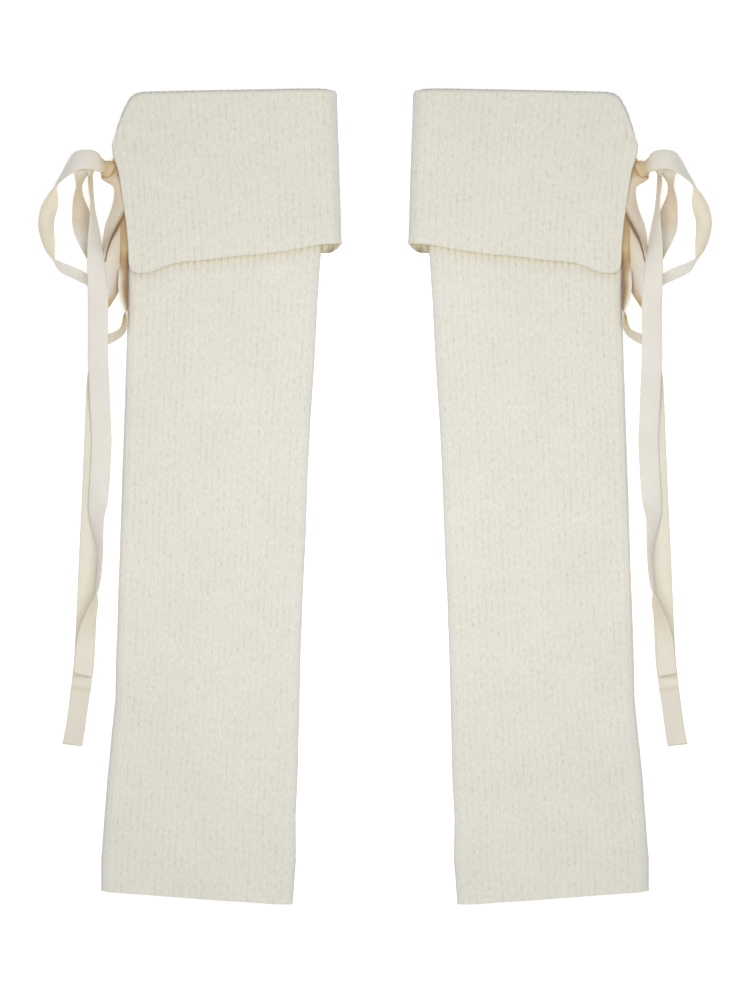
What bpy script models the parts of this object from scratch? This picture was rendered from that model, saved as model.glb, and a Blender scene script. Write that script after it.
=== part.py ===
"""A pair of rib-knit leg warmers, laid flat, with turned-down cuffs and ribbon bows.

Metres, +Z up. The pair lies on z = 0, the cuffs towards +Y, the origin in the middle of its underside.
The tables are in millimetres. "out" is the distance from the middle line of the pair, so the left
leg warmer has x = -out and the right one, its mirror image, has x = +out.
"""
import math

import bmesh
import bpy
from mathutils import Vector

MM = 0.001

# Knit: the wall at the crest of a rib, the height of a rib, and the room between layers
WALL = 2.4
RIB_HEIGHT = 0.6
LAYER_GAP = 0.3
SLOT = 0.4
RIBS = 28
RIB_SHOULDERS = (0.28, 0.72)
CREST = 0.0
VALLEY = RIB_HEIGHT

# Round a side fold, from the front to the back: the angle, and the depth of the rib there
SIDE_RIB = ((66, CREST), (38, CREST), (14, VALLEY), (-14, CREST), (-44, CREST), (-68, CREST))
SIDE_PLAIN = (50, 0, -50)

# Where a plain face has its points, as shares of its width from the outer side: close together
# at the cuff's slanting corner
LEG_PLAIN = (0.0, 0.25, 0.5, 0.75, 1.0)
CUFF_PLAIN = (0.0, 0.02, 0.045, 0.07, 0.095, 0.13, 0.18, 0.36, 0.6, 0.8, 1.0)

# The leg tube lying flat: half its thickness, its width at the hem, the reach of its rounded side
# folds, and the height of its top, hidden in the cuff
LEG_HALF = WALL + SLOT / 2
LEG_WIDTH = 142.8
LEG_FOLD = 5.0
LEG_TOP = 244.0

# The cuff: how far its back raises the leg tube, the reach of its side fold as a share of its
# width, the same for the plain inside, and the roll of its top edge
LIFT = WALL + LAYER_GAP
CUFF_FOLD = 0.064
CUFF_FOLD_PLAIN = 0.049
LIP = 2.6
LIP_REACH = 0.012

# How far the cuff's back edge lies in from its front edge at the foot of the slit, how far the
# turned-in part lies in from the cuff's side fold, and how fast each dies out across the cuff
BACK_INSET = 1.5
SLIT_FADE = 3
INNER_SLACK = 6.9
SLACK_FADE = 6

# Ribbon: its thickness, the longest step along it, and the knot with its lightly drawn-in waist
TAPE = 0.8
TAPE_STEP = 9.0
KNOT_RADII = (7.1, 9.2, 4.3)
KNOT_CENTRE = (194.1, 240.2, 4.6)
KNOT_SEGMENTS = (16, 8)
WAIST_DEPTH = 0.10
WAIST_WIDTH = 0.22
WAIST_LEAN = 0.25

# Edges that turn by more than this many degrees stay sharp
SHARP_ANGLE = 35

# Sides of the leg tube: y, out of its outer side, out of its inner side
LEG_SIDES = (
    (-301.9, 202.8, 60.7),
    (-269.4, 202.8, 58.1),
    (-239.8, 200.5, 58.5),
    (-210.2, 198.3, 57.0),
    (-180.6, 195.4, 56.2),
    (-151.0, 192.4, 55.5),
    (-121.4, 191.7, 54.8),
    (-77.0, 190.2, 53.3),
    (-32.6, 188.7, 51.1),
    (11.8, 187.2, 49.6),
    (56.2, 185.7, 47.4),
    (100.6, 184.3, 44.4),
    (145.0, 182.8, 42.2),
    (176.1, 182.4, 40.0),
    (200.5, 183.5, 37.7),
    (233.8, 186.1, 34.4),
    (263.4, 188.0, 32.6),
    (301.9, 188.7, 32.6),
)

# Hem of the leg tube: share of the way from the outer to the inner side, y
LEG_HEM = (
    (0.00, -291.6),
    (0.05, -293.0),
    (0.27, -295.3),
    (0.47, -297.5),
    (0.61, -299.0),
    (0.77, -300.4),
    (0.91, -301.9),
    (1.00, -301.9),
)

# Hem of the cuff's front, a little wavy, with its rounded outer corner: out, y
CUFF_HEM = (
    (182.0, 173.2),
    (181.0, 169.5),
    (178.3, 166.5),
    (175.4, 165.9),
    (165.8, 168.4),
    (152.4, 173.2),
    (142.8, 174.4),
    (127.3, 175.4),
    (117.7, 176.3),
    (101.4, 178.8),
    (87.3, 179.1),
    (79.2, 180.3),
    (62.9, 182.6),
    (40.0, 185.9),
    (25.2, 187.4),
)

# Hem of the cuff's back, under the leg tube: out, y
BACK_HEM = (
    (182.0, 173.2),
    (39.3, 179.8),
    (25.2, 184.3),
)

# Where the leg tube ends its climb over the cuff's back, just below both hems: out, y
RAMP_TOP = (
    (182.0, 164.5),
    (172.0, 164.7),
    (150.0, 171.5),
    (39.3, 178.5),
    (25.2, 183.0),
)

# Top of the cuff, with the slanting outer corner: out, y
CUFF_TOP = (
    (194.4, 259.7),
    (193.1, 264.9),
    (190.9, 273.8),
    (187.7, 282.7),
    (183.5, 291.6),
    (180.3, 296.0),
    (177.1, 298.2),
    (172.9, 299.3),
    (166.5, 299.7),
    (134.7, 300.4),
    (92.5, 301.2),
    (55.5, 301.9),
    (37.7, 301.9),
    (31.1, 301.2),
    (28.1, 298.2),
)

# How far the slit's edge bends in from a straight line: share of the way up, distance
SLIT_BEND = (
    (0.00, 0.0),
    (0.16, 1.6),
    (0.34, 2.4),
    (0.49, 2.2),
    (0.64, 2.4),
    (0.78, 2.0),
    (0.86, 0.9),
    (0.91, -0.3),
    (1.00, 0.0),
)

# Rows of the leg tube below the ramp (y), on the ramp (distance below its top), and above it (shares)
STRAIGHT_ROWS = (-268.0, -225.0, -180.6, -147.0, -77.0, 30.0, 120.0)
RAMP_ROWS = (11.0, 7.5, 3.5, 0.0)
RAMP_LENGTH = 11.0
UPPER_ROWS = (0.5, 1.0)

# Rows of the cuff: shares of the way up its front, and angles round its lip
CUFF_ROWS = (0.0, 0.06, 0.18, 0.42, 0.64, 0.78, 0.9, 1.0)
LIP_ANGLES = (45, 90, 135, 180)

# Ribbon routes, from the knot outwards: out, y, height, turn about the route in degrees, width
OUTER_LOOP = (
    (198.7, 243.1, 8.5, -30, 9),
    (203.1, 245.3, 13.5, -28, 12.5),
    (207.6, 248.1, 16.5, -18, 15),
    (212.8, 248.9, 17.5, -18, 15),
    (217.7, 248.4, 17.3, -20, 15),
    (222.0, 246.1, 16.2, -35, 15),
    (225.3, 243.1, 14.0, -50, 15),
    (229.0, 239.0, 11.2, -64, 15),
    (233.5, 233.1, 8.6, -80, 15),
    (236.4, 227.2, 7.9, -95, 15),
    (239.0, 220.5, 7.3, -125, 15),
    (241.6, 211.6, 4.6, -158, 15),
    (243.5, 202.8, 3.2, -165, 15),
    (243.2, 193.9, 4.8, -147, 15),
    (241.6, 185.0, 6.8, -125, 15),
    (238.7, 176.9, 7.9, -98, 15),
    (233.1, 169.8, 7.9, -66, 15),
    (226.4, 165.8, 7.2, -57, 15),
    (219.0, 162.1, 7.2, -57, 15),
    (211.6, 159.1, 7.5, -64, 15),
    (207.2, 154.7, 7.9, -76, 15),
    (203.5, 149.1, 8.0, -84, 15),
    (200.2, 143.9, 8.0, -86, 15),
    (197.1, 144.1, 8.0, -82, 15),
    (194.8, 150.2, 7.4, -62, 15),
    (193.4, 159.1, 6.4, -49, 15),
    (193.7, 174.6, 5.8, -40, 15),
    (191.7, 189.4, 7.4, -56, 15),
    (188.9, 201.3, 6.9, -80, 12.5),
    (188.5, 210.2, 6.2, -90, 11),
    (188.9, 216.8, 5.2, -90, 9),
    (189.6, 225.0, 4.8, -90, 8),
)
INNER_LOOP = (
    (200.3, 244.9, 4.4, 86, 6.6),
    (204.2, 247.3, 4.8, 86, 7.6),
    (208.7, 248.4, 6.9, 82, 13),
    (213.0, 246.4, 7.6, 72, 15),
    (215.2, 241.2, 7.4, 63, 15),
    (216.4, 235.3, 7.4, 64, 15),
    (218.7, 228.7, 7.9, 77, 15),
    (219.2, 222.0, 7.4, 65, 15),
    (218.4, 213.9, 6.0, 45, 15),
    (217.1, 206.5, 4.2, 26, 15),
    (216.4, 198.3, 4.2, 26, 15),
    (214.2, 189.4, 5.7, 42, 15),
    (211.0, 180.6, 6.4, 54, 14),
    (208.5, 172.4, 6.3, 66, 12.5),
    (206.2, 166.9, 6.2, 76, 11.5),
    (203.6, 166.9, 6.3, 80, 11.5),
    (202.0, 173.2, 6.0, 78, 10.5),
    (200.8, 182.0, 6.0, 74, 11),
    (199.4, 190.9, 7.2, 70, 13.5),
    (196.1, 200.5, 7.4, 62, 15),
    (192.9, 208.7, 7.3, 60, 15),
    (191.3, 216.8, 7.9, 66, 14),
    (191.9, 223.5, 7.2, 76, 11.5),
    (192.6, 228.4, 6.4, 82, 9),
)
SHORT_TAIL = (
    (201.6, 241.2, 5.0, 88, 8),
    (204.0, 243.5, 5.6, 88, 9),
    (207.2, 243.8, 6.9, 86, 13),
    (209.2, 240.9, 7.7, 80, 15),
    (209.8, 235.3, 7.8, 75, 15),
    (209.6, 227.2, 8.0, 79, 15),
    (208.7, 219.0, 8.8, 81, 15),
    (208.1, 210.2, 10.0, 76, 15),
    (207.2, 200.5, 11.6, 65, 15),
    (206.7, 190.9, 13.4, 53, 15),
    (206.3, 182.0, 16.5, 42, 15),
    (205.7, 173.2, 17.6, 33, 15),
    (204.8, 159.8, 17.6, 20, 15),
    (204.2, 145.0, 17.2, 0, 15),
    (204.2, 130.2, 16.9, 0, 15),
    (204.2, 115.4, 16.4, 0, 15),
    (204.4, 103.6, 15.7, 0, 15),
    (204.0, 93.2, 13.2, 0, 15),
    (203.6, 81.4, 8.6, 0, 15),
    (203.4, 69.6, 4.8, 0, 15),
    (202.8, 56.2, 3.0, 0, 15),
    (202.2, 41.4, 2.5, 0, 15),
    (202.8, 26.6, 2.5, 0, 15),
    (203.6, 11.8, 2.6, 0, 15),
    (204.8, -3.0, 3.8, -10, 15),
    (205.7, -15.5, 7.3, -38, 15),
    (204.7, -27.4, 8.9, -56, 15),
    (203.3, -39.2, 9.7, -70, 15),
    (203.3, -48.8, 9.9, -75, 15),
    (204.2, -59.9, 9.9, -76, 15),
    (205.5, -71.0, 9.8, -86, 15),
    (207.1, -78.4, 9.6, -106, 15),
    (209.8, -87.3, 9.2, -120, 15),
    (212.4, -96.2, 8.4, -131, 15),
    (214.2, -106.6, 7.2, -142, 15),
    (215.1, -118.4, 6.4, -149, 15),
    (216.2, -132.5, 6.3, -150, 15),
)
LONG_TAIL = (
    (188.0, 226.4, 4.8, 92, 8),
    (187.0, 217.6, 5.3, 95, 9),
    (185.8, 207.2, 5.8, 100, 10),
    (185.3, 195.4, 6.3, 104, 11),
    (185.1, 182.0, 6.9, 104, 12),
    (185.5, 170.9, 7.4, 99, 13.5),
    (185.6, 162.1, 7.9, 84, 15),
    (186.0, 152.4, 7.6, 69, 15),
    (185.4, 143.6, 7.8, 78, 15),
    (185.1, 136.2, 7.9, 96, 15),
    (185.6, 128.8, 7.8, 105, 15),
    (187.5, 122.1, 7.5, 112, 15),
    (191.3, 118.0, 7.2, 118, 15),
    (196.1, 115.8, 7.2, 120, 15),
    (200.9, 113.2, 7.4, 115, 15),
    (204.2, 108.0, 7.5, 113, 15),
    (205.6, 99.9, 6.4, 130, 15),
    (205.6, 90.3, 3.8, 156, 15),
    (206.0, 79.9, 1.5, 176, 15),
    (206.6, 68.1, 1.0, 180, 15),
    (207.9, 34.0, 1.0, 180, 15),
    (209.5, -3.0, 1.0, 180, 15),
    (211.6, -47.4, 1.0, 180, 15),
    (213.5, -91.8, 1.0, 180, 15),
    (215.0, -121.4, 1.0, 180, 15),
    (216.5, -134.7, 1.2, 176, 15),
    (218.4, -147.3, 2.6, 166, 15),
    (220.5, -165.0, 2.8, 165, 15),
    (222.1, -175.4, 2.4, 168, 15),
    (223.8, -184.3, 1.8, 173, 15),
)

KNIT_COLOUR = (0.768, 0.752, 0.672, 1.0)
TAPE_COLOUR = (0.76, 0.716, 0.63, 1.0)


def clear_scene():
    for item in list(bpy.data.objects):
        bpy.data.objects.remove(item, do_unlink=True)


def material(name, colour, roughness):
    made = bpy.data.materials.new(name)
    made.use_nodes = True
    shader = made.node_tree.nodes["Principled BSDF"]
    shader.inputs["Base Color"].default_value = colour
    shader.inputs["Roughness"].default_value = roughness
    shader.inputs["Metallic"].default_value = 0.0
    return made


def mix(first, second, share):
    return first + (second - first) * share


def look_up(table, place, column=1):
    """Reads a table at a place, in a straight line between its rows."""
    rows = table if table[0][0] < table[-1][0] else table[::-1]
    if place <= rows[0][0]:
        return rows[0][column]
    for low, high in zip(rows, rows[1:]):
        if place <= high[0]:
            return mix(low[column], high[column], (place - low[0]) / (high[0] - low[0]))
    return rows[-1][column]


def round_profile(reach, folds_outer, plain):
    """Stations round a flat-lying tube: (place, share across, height share, depth of the rib there).

    The share across runs from 0 at the outer side to 1 at the inner side, and the height share
    from 1 on the front to -1 on the back. The back is plain, with points at the plain shares.
    """
    outer_reach = reach if folds_outer else 0.0
    span = 1.0 - reach - outer_reach
    stations = []
    for rib in range(RIBS):
        start = rib / RIBS
        stations.append((start, outer_reach + span * start, 1.0, VALLEY))
        for shoulder in RIB_SHOULDERS:
            share = (rib + shoulder) / RIBS
            stations.append((share, outer_reach + span * share, 1.0, CREST))
    stations.append((1.0, 1.0 - reach, 1.0, VALLEY))
    for angle, depth in SIDE_RIB:
        turn = math.radians(angle)
        across = 1.0 - reach + reach * math.cos(turn)
        stations.append((1.5 - angle / 180, across, math.sin(turn), depth))
    for share in plain[::-1]:
        stations.append((3.0 - share, outer_reach + span * share, -1.0, CREST))
    if folds_outer:
        for angle, depth in SIDE_RIB[::-1]:
            turn = math.radians(angle)
            across = outer_reach - outer_reach * math.cos(turn)
            stations.append((3.5 + angle / 180, across, math.sin(turn), depth))
    return stations


def plain_profile(reach, folds_outer, plain):
    """Stations of the plain inside of a wall, in the same form."""
    outer_reach = reach if folds_outer else 0.0
    span = 1.0 - reach - outer_reach
    stations = []
    for share in plain:
        stations.append((share, outer_reach + span * share, 1.0, CREST))
    for angle in SIDE_PLAIN:
        turn = math.radians(angle)
        across = 1.0 - reach + reach * math.cos(turn)
        stations.append((1.5 - angle / 180, across, math.sin(turn), CREST))
    for share in plain[::-1]:
        stations.append((3.0 - share, outer_reach + span * share, -1.0, CREST))
    if folds_outer:
        for angle in SIDE_PLAIN[::-1]:
            turn = math.radians(angle)
            across = outer_reach - outer_reach * math.cos(turn)
            stations.append((3.5 + angle / 180, across, math.sin(turn), CREST))
    return stations


def hem_depth(depth, height):
    """At an edge of the cloth the front's ribs run out to the level of their valleys."""
    return VALLEY if height > 0 else depth


def join_lines(mesh, first, second, lap=None):
    """Fills the band between two lines of (place, vertex), which may have unlike numbers of points."""
    if lap is not None:
        first = first + [(first[0][0] + lap, first[0][1])]
        second = second + [(second[0][0] + lap, second[0][1])]
    i = 0
    j = 0
    while i < len(first) - 1 or j < len(second) - 1:
        first_next = i < len(first) - 1 and (
            j == len(second) - 1 or first[i + 1][0] <= second[j + 1][0])
        if first_next:
            mesh.faces.new((first[i][1], first[i + 1][1], second[j][1]))
            i += 1
        else:
            mesh.faces.new((first[i][1], second[j + 1][1], second[j][1]))
            j += 1


def add_grid(mesh, rows, closed):
    """Makes a grid of quads from rows of points and returns its vertices, row by row."""
    grid = [[mesh.verts.new(point) for point in row] for row in rows]
    count = len(grid[0])
    for low, high in zip(grid, grid[1:]):
        for k in range(count if closed else count - 1):
            after = (k + 1) % count
            mesh.faces.new((low[k], low[after], high[after], high[k]))
    return grid


def finish_object(name, mesh, finish, collection):
    mesh.normal_update()
    bmesh.ops.recalc_face_normals(mesh, faces=mesh.faces)
    data = bpy.data.meshes.new(name)
    mesh.to_mesh(data)
    mesh.free()
    data.materials.append(finish)
    item = bpy.data.objects.new(name, data)
    collection.objects.link(item)
    data.shade_smooth()
    data.set_sharp_from_angle(angle=math.radians(SHARP_ANGLE))
    return item


def place(side, out, y, z):
    return Vector((side * out * MM, y * MM, z * MM))


def lift(out, y):
    """How far the leg tube is raised at a place, where it climbs over the hem of the cuff's back."""
    climb = (y - look_up(RAMP_TOP, out)) / RAMP_LENGTH + 1.0
    climb = min(max(climb, 0.0), 1.0)
    return LIFT * climb * climb * (3 - 2 * climb)


def cuff_top_y(across):
    out = mix(CUFF_TOP[0][0], CUFF_TOP[-1][0], across)
    return look_up(CUFF_TOP, out)


def leg_rows(across):
    """The y of each row of the leg tube at one share across it."""
    ys = [look_up(LEG_HEM, across)]
    ys.extend(STRAIGHT_ROWS)
    outer = look_up(LEG_SIDES, RAMP_TOP[0][1], 1)
    inner = look_up(LEG_SIDES, RAMP_TOP[-1][1], 2)
    ramp_top = look_up(RAMP_TOP, mix(outer, inner, across))
    for below in RAMP_ROWS:
        ys.append(ramp_top - below)
    for share in UPPER_ROWS:
        ys.append(mix(ramp_top, LEG_TOP, share))
    return ys


def tube_point(side, across, height, depth, y, half, inset):
    """A point of the leg tube: its place across, its height share, and how deep it lies under the crests."""
    outer = look_up(LEG_SIDES, y, 1) - inset
    inner = look_up(LEG_SIDES, y, 2) + inset
    out = mix(outer, inner, across)
    middle = LEG_HALF + lift(out, y)
    steep = math.sqrt(max(0.0, 1.0 - height * height))
    toward_inner = 1.0 if across > 0.5 else -1.0
    out += toward_inner * depth * steep
    return place(side, out, y, middle + (half - depth) * height)


def leg_tube(name, side, finish, collection):
    mesh = bmesh.new()
    outer_ring = round_profile(LEG_FOLD / LEG_WIDTH, True, LEG_PLAIN)
    inner_fold = (LEG_FOLD - WALL) / (LEG_WIDTH - 2 * WALL)
    inner_ring = plain_profile(inner_fold, True, LEG_PLAIN)
    rows = len(leg_rows(0.5))
    grids = []
    for ring, half, inset in ((outer_ring, LEG_HALF, 0.0), (inner_ring, SLOT / 2, WALL)):
        points = []
        for row in range(rows):
            line = []
            for _, across, height, depth in ring:
                if inset == 0.0 and row in (0, rows - 1):
                    depth = hem_depth(depth, height)
                y = leg_rows(across)[row]
                line.append(tube_point(side, across, height, depth, y, half, inset))
            points.append(line)
        grids.append(add_grid(mesh, points, True))
    for row in (0, -1):
        outer_line = [(s[0], v) for s, v in zip(outer_ring, grids[0][row])]
        inner_line = [(s[0], v) for s, v in zip(inner_ring, grids[1][row])]
        join_lines(mesh, outer_line, inner_line, lap=4.0)
    return finish_object(name, mesh, finish, collection)


def cuff_base(across, share, height):
    """Where the cuff's sheet lies: out and y at a share across and a share of the way up."""
    top_out, top_y = lip_base(across)
    hem_out = mix(CUFF_HEM[0][0], CUFF_HEM[-1][0], across)
    frontness = (1.0 + height) / 2
    hem_y = mix(look_up(BACK_HEM, hem_out), look_up(CUFF_HEM, hem_out), frontness)
    out = mix(hem_out, top_out, share)
    fade = (1.0 - across) ** SLIT_FADE
    out -= look_up(SLIT_BEND, share) * fade
    out -= BACK_INSET * (1.0 - frontness) * (1.0 - share) * fade
    return out, mix(hem_y, top_y, share)


def lip_normal(across):
    """The direction out of the cuff's top edge, in the plane of the floor (out, y)."""
    before = max(0.0, across - LIP_REACH)
    after = min(1.0, across + LIP_REACH)
    run = mix(CUFF_TOP[0][0], CUFF_TOP[-1][0], after) - mix(CUFF_TOP[0][0], CUFF_TOP[-1][0], before)
    rise = cuff_top_y(after) - cuff_top_y(before)
    size = math.hypot(run, rise)
    return rise / size, -run / size


def lip_base(across):
    """Where the flat part of the cuff ends and its lip begins to curl over."""
    normal = lip_normal(across)
    out = mix(CUFF_TOP[0][0], CUFF_TOP[-1][0], across)
    return out - LIP * normal[0], cuff_top_y(across) - LIP * normal[1]


def turn_in_point(across, low):
    """A point of the part turned in, at the lip (low = 0) and where it meets the leg tube (low = 1)."""
    top_out, top_y = lip_base(across)
    end_y = LEG_TOP + LAYER_GAP
    end_out = mix(look_up(LEG_SIDES, end_y, 1), look_up(LEG_SIDES, end_y, 2), across)
    start_out = top_out + INNER_SLACK * across ** SLACK_FADE
    return mix(start_out, end_out, low), mix(top_y, end_y, low)


def cuff_height(out, y, height, front, back):
    """Height of a layer of the cuff: its front follows the leg tube, and its back is at a fixed height."""
    top = LEG_HALF + lift(out, y) + front
    return mix(back, top, (1.0 + height) / 2)


def cuff_rows(side, ring, outside):
    """Rows of one face of the cuff's sheet, from its hem over the lip and down inside."""
    front = LEG_HALF + LAYER_GAP + (WALL if outside else 0.0)
    back = 0.0 if outside else WALL
    inset = 0.0 if outside else WALL
    under = SLOT / 2 if outside else LEG_HALF
    rows = []
    for share in CUFF_ROWS:
        line = []
        for _, across, height, depth in ring:
            if outside and share == CUFF_ROWS[0]:
                depth = hem_depth(depth, height)
            out, y = cuff_base(across, share, height)
            steep = math.sqrt(max(0.0, 1.0 - height * height))
            out += (inset + depth) * steep * across
            z = cuff_height(out, y, height, front, back)
            line.append(place(side, out, y, z - depth * height))
        rows.append(line)
    for angle in LIP_ANGLES:
        turn = math.radians(angle)
        over = (1.0 - math.cos(turn)) / 2
        line = []
        for _, across, height, depth in ring:
            steep = math.sqrt(max(0.0, 1.0 - height * height))
            out, y = cuff_base(across, 1.0, height)
            out += (inset + depth) * steep * across
            z = cuff_height(out, y, height, front, back)
            in_out, in_y = turn_in_point(across, 0.0)
            in_out += (WALL if outside else 0.0) * steep * across
            in_z = LEG_HALF + LIFT + under * height
            normal = lip_normal(across)
            forward = (LIP if outside else LAYER_GAP / 2) * math.sin(turn)
            sink = depth * (1.0 - over)
            line.append(place(side, mix(out, in_out, over) + forward * normal[0],
                              mix(y, in_y, over) + forward * normal[1],
                              mix(z, in_z, over) - sink * height))
        rows.append(line)
    line = []
    for _, across, height, _ in ring:
        steep = math.sqrt(max(0.0, 1.0 - height * height))
        out, y = turn_in_point(across, 1.0)
        out += (WALL if outside else 0.0) * steep * across
        line.append(place(side, out, y, LEG_HALF + LIFT + under * height))
    rows.append(line)
    return rows


def cuff(name, side, finish, collection):
    mesh = bmesh.new()
    outer_ring = round_profile(CUFF_FOLD, False, CUFF_PLAIN)
    inner_ring = plain_profile(CUFF_FOLD_PLAIN, False, CUFF_PLAIN)
    outer = add_grid(mesh, cuff_rows(side, outer_ring, True), False)
    inner = add_grid(mesh, cuff_rows(side, inner_ring, False), False)
    for row in (0, -1):
        outer_line = [(s[0], v) for s, v in zip(outer_ring, outer[row])]
        inner_line = [(s[0], v) for s, v in zip(inner_ring, inner[row])]
        join_lines(mesh, outer_line, inner_line)
    for end in (0, -1):
        for row in range(len(outer) - 1):
            mesh.faces.new((outer[row][end], outer[row + 1][end], inner[row + 1][end], inner[row][end]))
    return finish_object(name, mesh, finish, collection)


def smooth_route(route, step):
    """A smooth curve through the rows of a route, with all its columns, sampled about every step."""
    samples = []
    last = len(route) - 1
    for k in range(last):
        before = route[max(k - 1, 0)]
        here = route[k]
        after = route[k + 1]
        beyond = route[min(k + 2, last)]
        length = math.dist(here[:3], after[:3])
        pieces = max(1, round(length / step))
        for piece in range(pieces):
            t = piece / pieces
            row = []
            for a, b, c, d in zip(before, here, after, beyond):
                row.append(0.5 * (2 * b + (c - a) * t + (2 * a - 5 * b + 4 * c - d) * t * t
                                  + (3 * b - a - 3 * c + d) * t ** 3))
            samples.append(row)
    samples.append(list(route[last]))
    return samples


def ribbon(name, side, route, finish, collection):
    """A flat tape swept along a route, turned about it as the route says."""
    samples = smooth_route(route, TAPE_STEP)
    centres = [Vector((-row[0], row[1], row[2])) for row in samples]
    sections = []
    for k, row in enumerate(samples):
        ahead = centres[min(k + 1, len(centres) - 1)] - centres[max(k - 1, 0)]
        ahead.normalize()
        flat = ahead.cross(Vector((0, 0, 1))).normalized()
        up = flat.cross(ahead)
        turn = math.radians(row[3])
        across = (flat * math.cos(turn) + up * math.sin(turn)) * row[4] / 2
        face = (up * math.cos(turn) - flat * math.sin(turn)) * TAPE / 2
        corners = (across + face, face - across, -across - face, across - face)
        sections.append([place(side, -(centres[k] + corner).x, (centres[k] + corner).y,
                               (centres[k] + corner).z) for corner in corners])
    mesh = bmesh.new()
    grid = [[mesh.verts.new(point) for point in section] for section in sections]
    for low, high in zip(grid, grid[1:]):
        for one, two in ((0, 1), (3, 2)):
            mesh.faces.new((low[one], low[two], high[two]))
            mesh.faces.new((low[one], high[two], high[one]))
        for one, two in ((1, 2), (3, 0)):
            mesh.faces.new((low[one], low[two], high[two], high[one]))
    mesh.faces.new(grid[0])
    mesh.faces.new(grid[-1])
    return finish_object(name, mesh, finish, collection)


def knot(name, side, finish, collection):
    """The knot of the bow: a flattened lump with a waist where the tape wraps it."""
    mesh = bmesh.new()
    round_about, up = KNOT_SEGMENTS
    bmesh.ops.create_uvsphere(mesh, u_segments=round_about, v_segments=up, radius=1.0)
    centre = Vector(KNOT_CENTRE)
    for vertex in mesh.verts:
        x, y, z = vertex.co
        waist = 1.0 - WAIST_DEPTH * math.exp(-((y + WAIST_LEAN * x) / WAIST_WIDTH) ** 2)
        out = centre.x - x * waist * KNOT_RADII[0]
        vertex.co = place(side, out, centre.y + y * KNOT_RADII[1], centre.z + z * waist * KNOT_RADII[2])
    return finish_object(name, mesh, finish, collection)


def leg_warmer(word, side, collection):
    knit = material(word + "_knit", KNIT_COLOUR, 0.9)
    turned = material(word + "_cuff_knit", KNIT_COLOUR, 0.9)
    leg_tube(word + "_leg_tube", side, knit, collection)
    cuff(word + "_cuff", side, turned, collection)
    knot(word + "_knot", side, material(word + "_knot_tape", TAPE_COLOUR, 0.75), collection)
    routes = (("_outer_loop", OUTER_LOOP), ("_inner_loop", INNER_LOOP),
              ("_short_tail", SHORT_TAIL), ("_long_tail", LONG_TAIL))
    for part, route in routes:
        tape = material(word + part + "_tape", TAPE_COLOUR, 0.75)
        ribbon(word + part, side, route, tape, collection)


def main():
    clear_scene()
    pair = bpy.data.collections.new("pair_of_leg_warmers")
    bpy.context.scene.collection.children.link(pair)
    leg_warmer("left", -1, pair)
    leg_warmer("right", 1, pair)


main()
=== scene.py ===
"""Looks of a pair of rib-knit leg warmers, laid flat, with turned-down cuffs and ribbon bows.

Metres, +Z up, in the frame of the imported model. Tables and sizes of cloth and tape are in millimetres.
"out" is the distance from the pair's middle line: the left leg warmer has x = -out, the right mirrors it.
"""
import math

import bpy
import numpy as np
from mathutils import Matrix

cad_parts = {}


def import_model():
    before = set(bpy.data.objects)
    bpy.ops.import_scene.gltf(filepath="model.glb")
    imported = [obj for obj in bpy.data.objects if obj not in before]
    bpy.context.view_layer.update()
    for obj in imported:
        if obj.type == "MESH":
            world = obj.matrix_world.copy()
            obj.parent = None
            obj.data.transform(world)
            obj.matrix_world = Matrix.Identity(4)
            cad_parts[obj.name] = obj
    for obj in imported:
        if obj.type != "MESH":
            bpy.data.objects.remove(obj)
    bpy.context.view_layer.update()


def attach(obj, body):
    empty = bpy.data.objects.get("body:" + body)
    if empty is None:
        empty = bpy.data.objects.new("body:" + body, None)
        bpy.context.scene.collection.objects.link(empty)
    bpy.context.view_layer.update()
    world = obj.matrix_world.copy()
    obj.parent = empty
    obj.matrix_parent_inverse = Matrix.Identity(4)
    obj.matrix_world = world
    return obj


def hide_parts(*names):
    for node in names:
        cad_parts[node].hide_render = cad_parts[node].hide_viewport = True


MM = 0.001
SIDES = {"left": -1, "right": 1}

# Camera: a long lens straight above the pair. The view's height is its long side
CAMERA_HEIGHT = 5.0
CAMERA_SENSOR = 36.0
CAMERA_REACH = 40.0
VIEW_HEIGHT = 0.740
VIEW_CENTRE = (0.0, -0.00296)

# Studio: a pale floor just under the cloth, a broad soft light above, and light from all round
FLOOR_SIZE = 8.0
FLOOR_DROP = 0.0002
FLOOR_COLOUR = (0.93, 0.93, 0.925, 1.0)
FLOOR_GLOW = 0.42
PANEL_SIZE = 0.7
PANEL_PLACE = (0.014, 0.014, 0.8)
PANEL_POWER = 4.5
SKY_COLOUR = (0.98, 0.99, 1.0, 1.0)
SKY_STRENGTH = 0.42

# Knit: the wall at the crest of a rib, the room between layers and the slot inside the flat tube, then
# the side folds, the lip rolled over at the cuff's top, the slit, and the leg's ramp over the cuff's back
WALL = 2.4
LAYER_GAP = 0.3
SLOT = 0.4
LEG_HALF = WALL + SLOT / 2
LEG_FOLD = 5.0
LEG_WIDTH = 142.8
LEG_TOP = 244.0
LIFT = WALL + LAYER_GAP
CUFF_FOLD = 0.064
CUFF_FOLD_PLAIN = 0.049
LIP = 2.6
LIP_REACH = 0.012
BACK_INSET = 1.5
SLIT_FADE = 3
INNER_SLACK = 6.9
SLACK_FADE = 6
RAMP_LENGTH = 11.0

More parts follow.
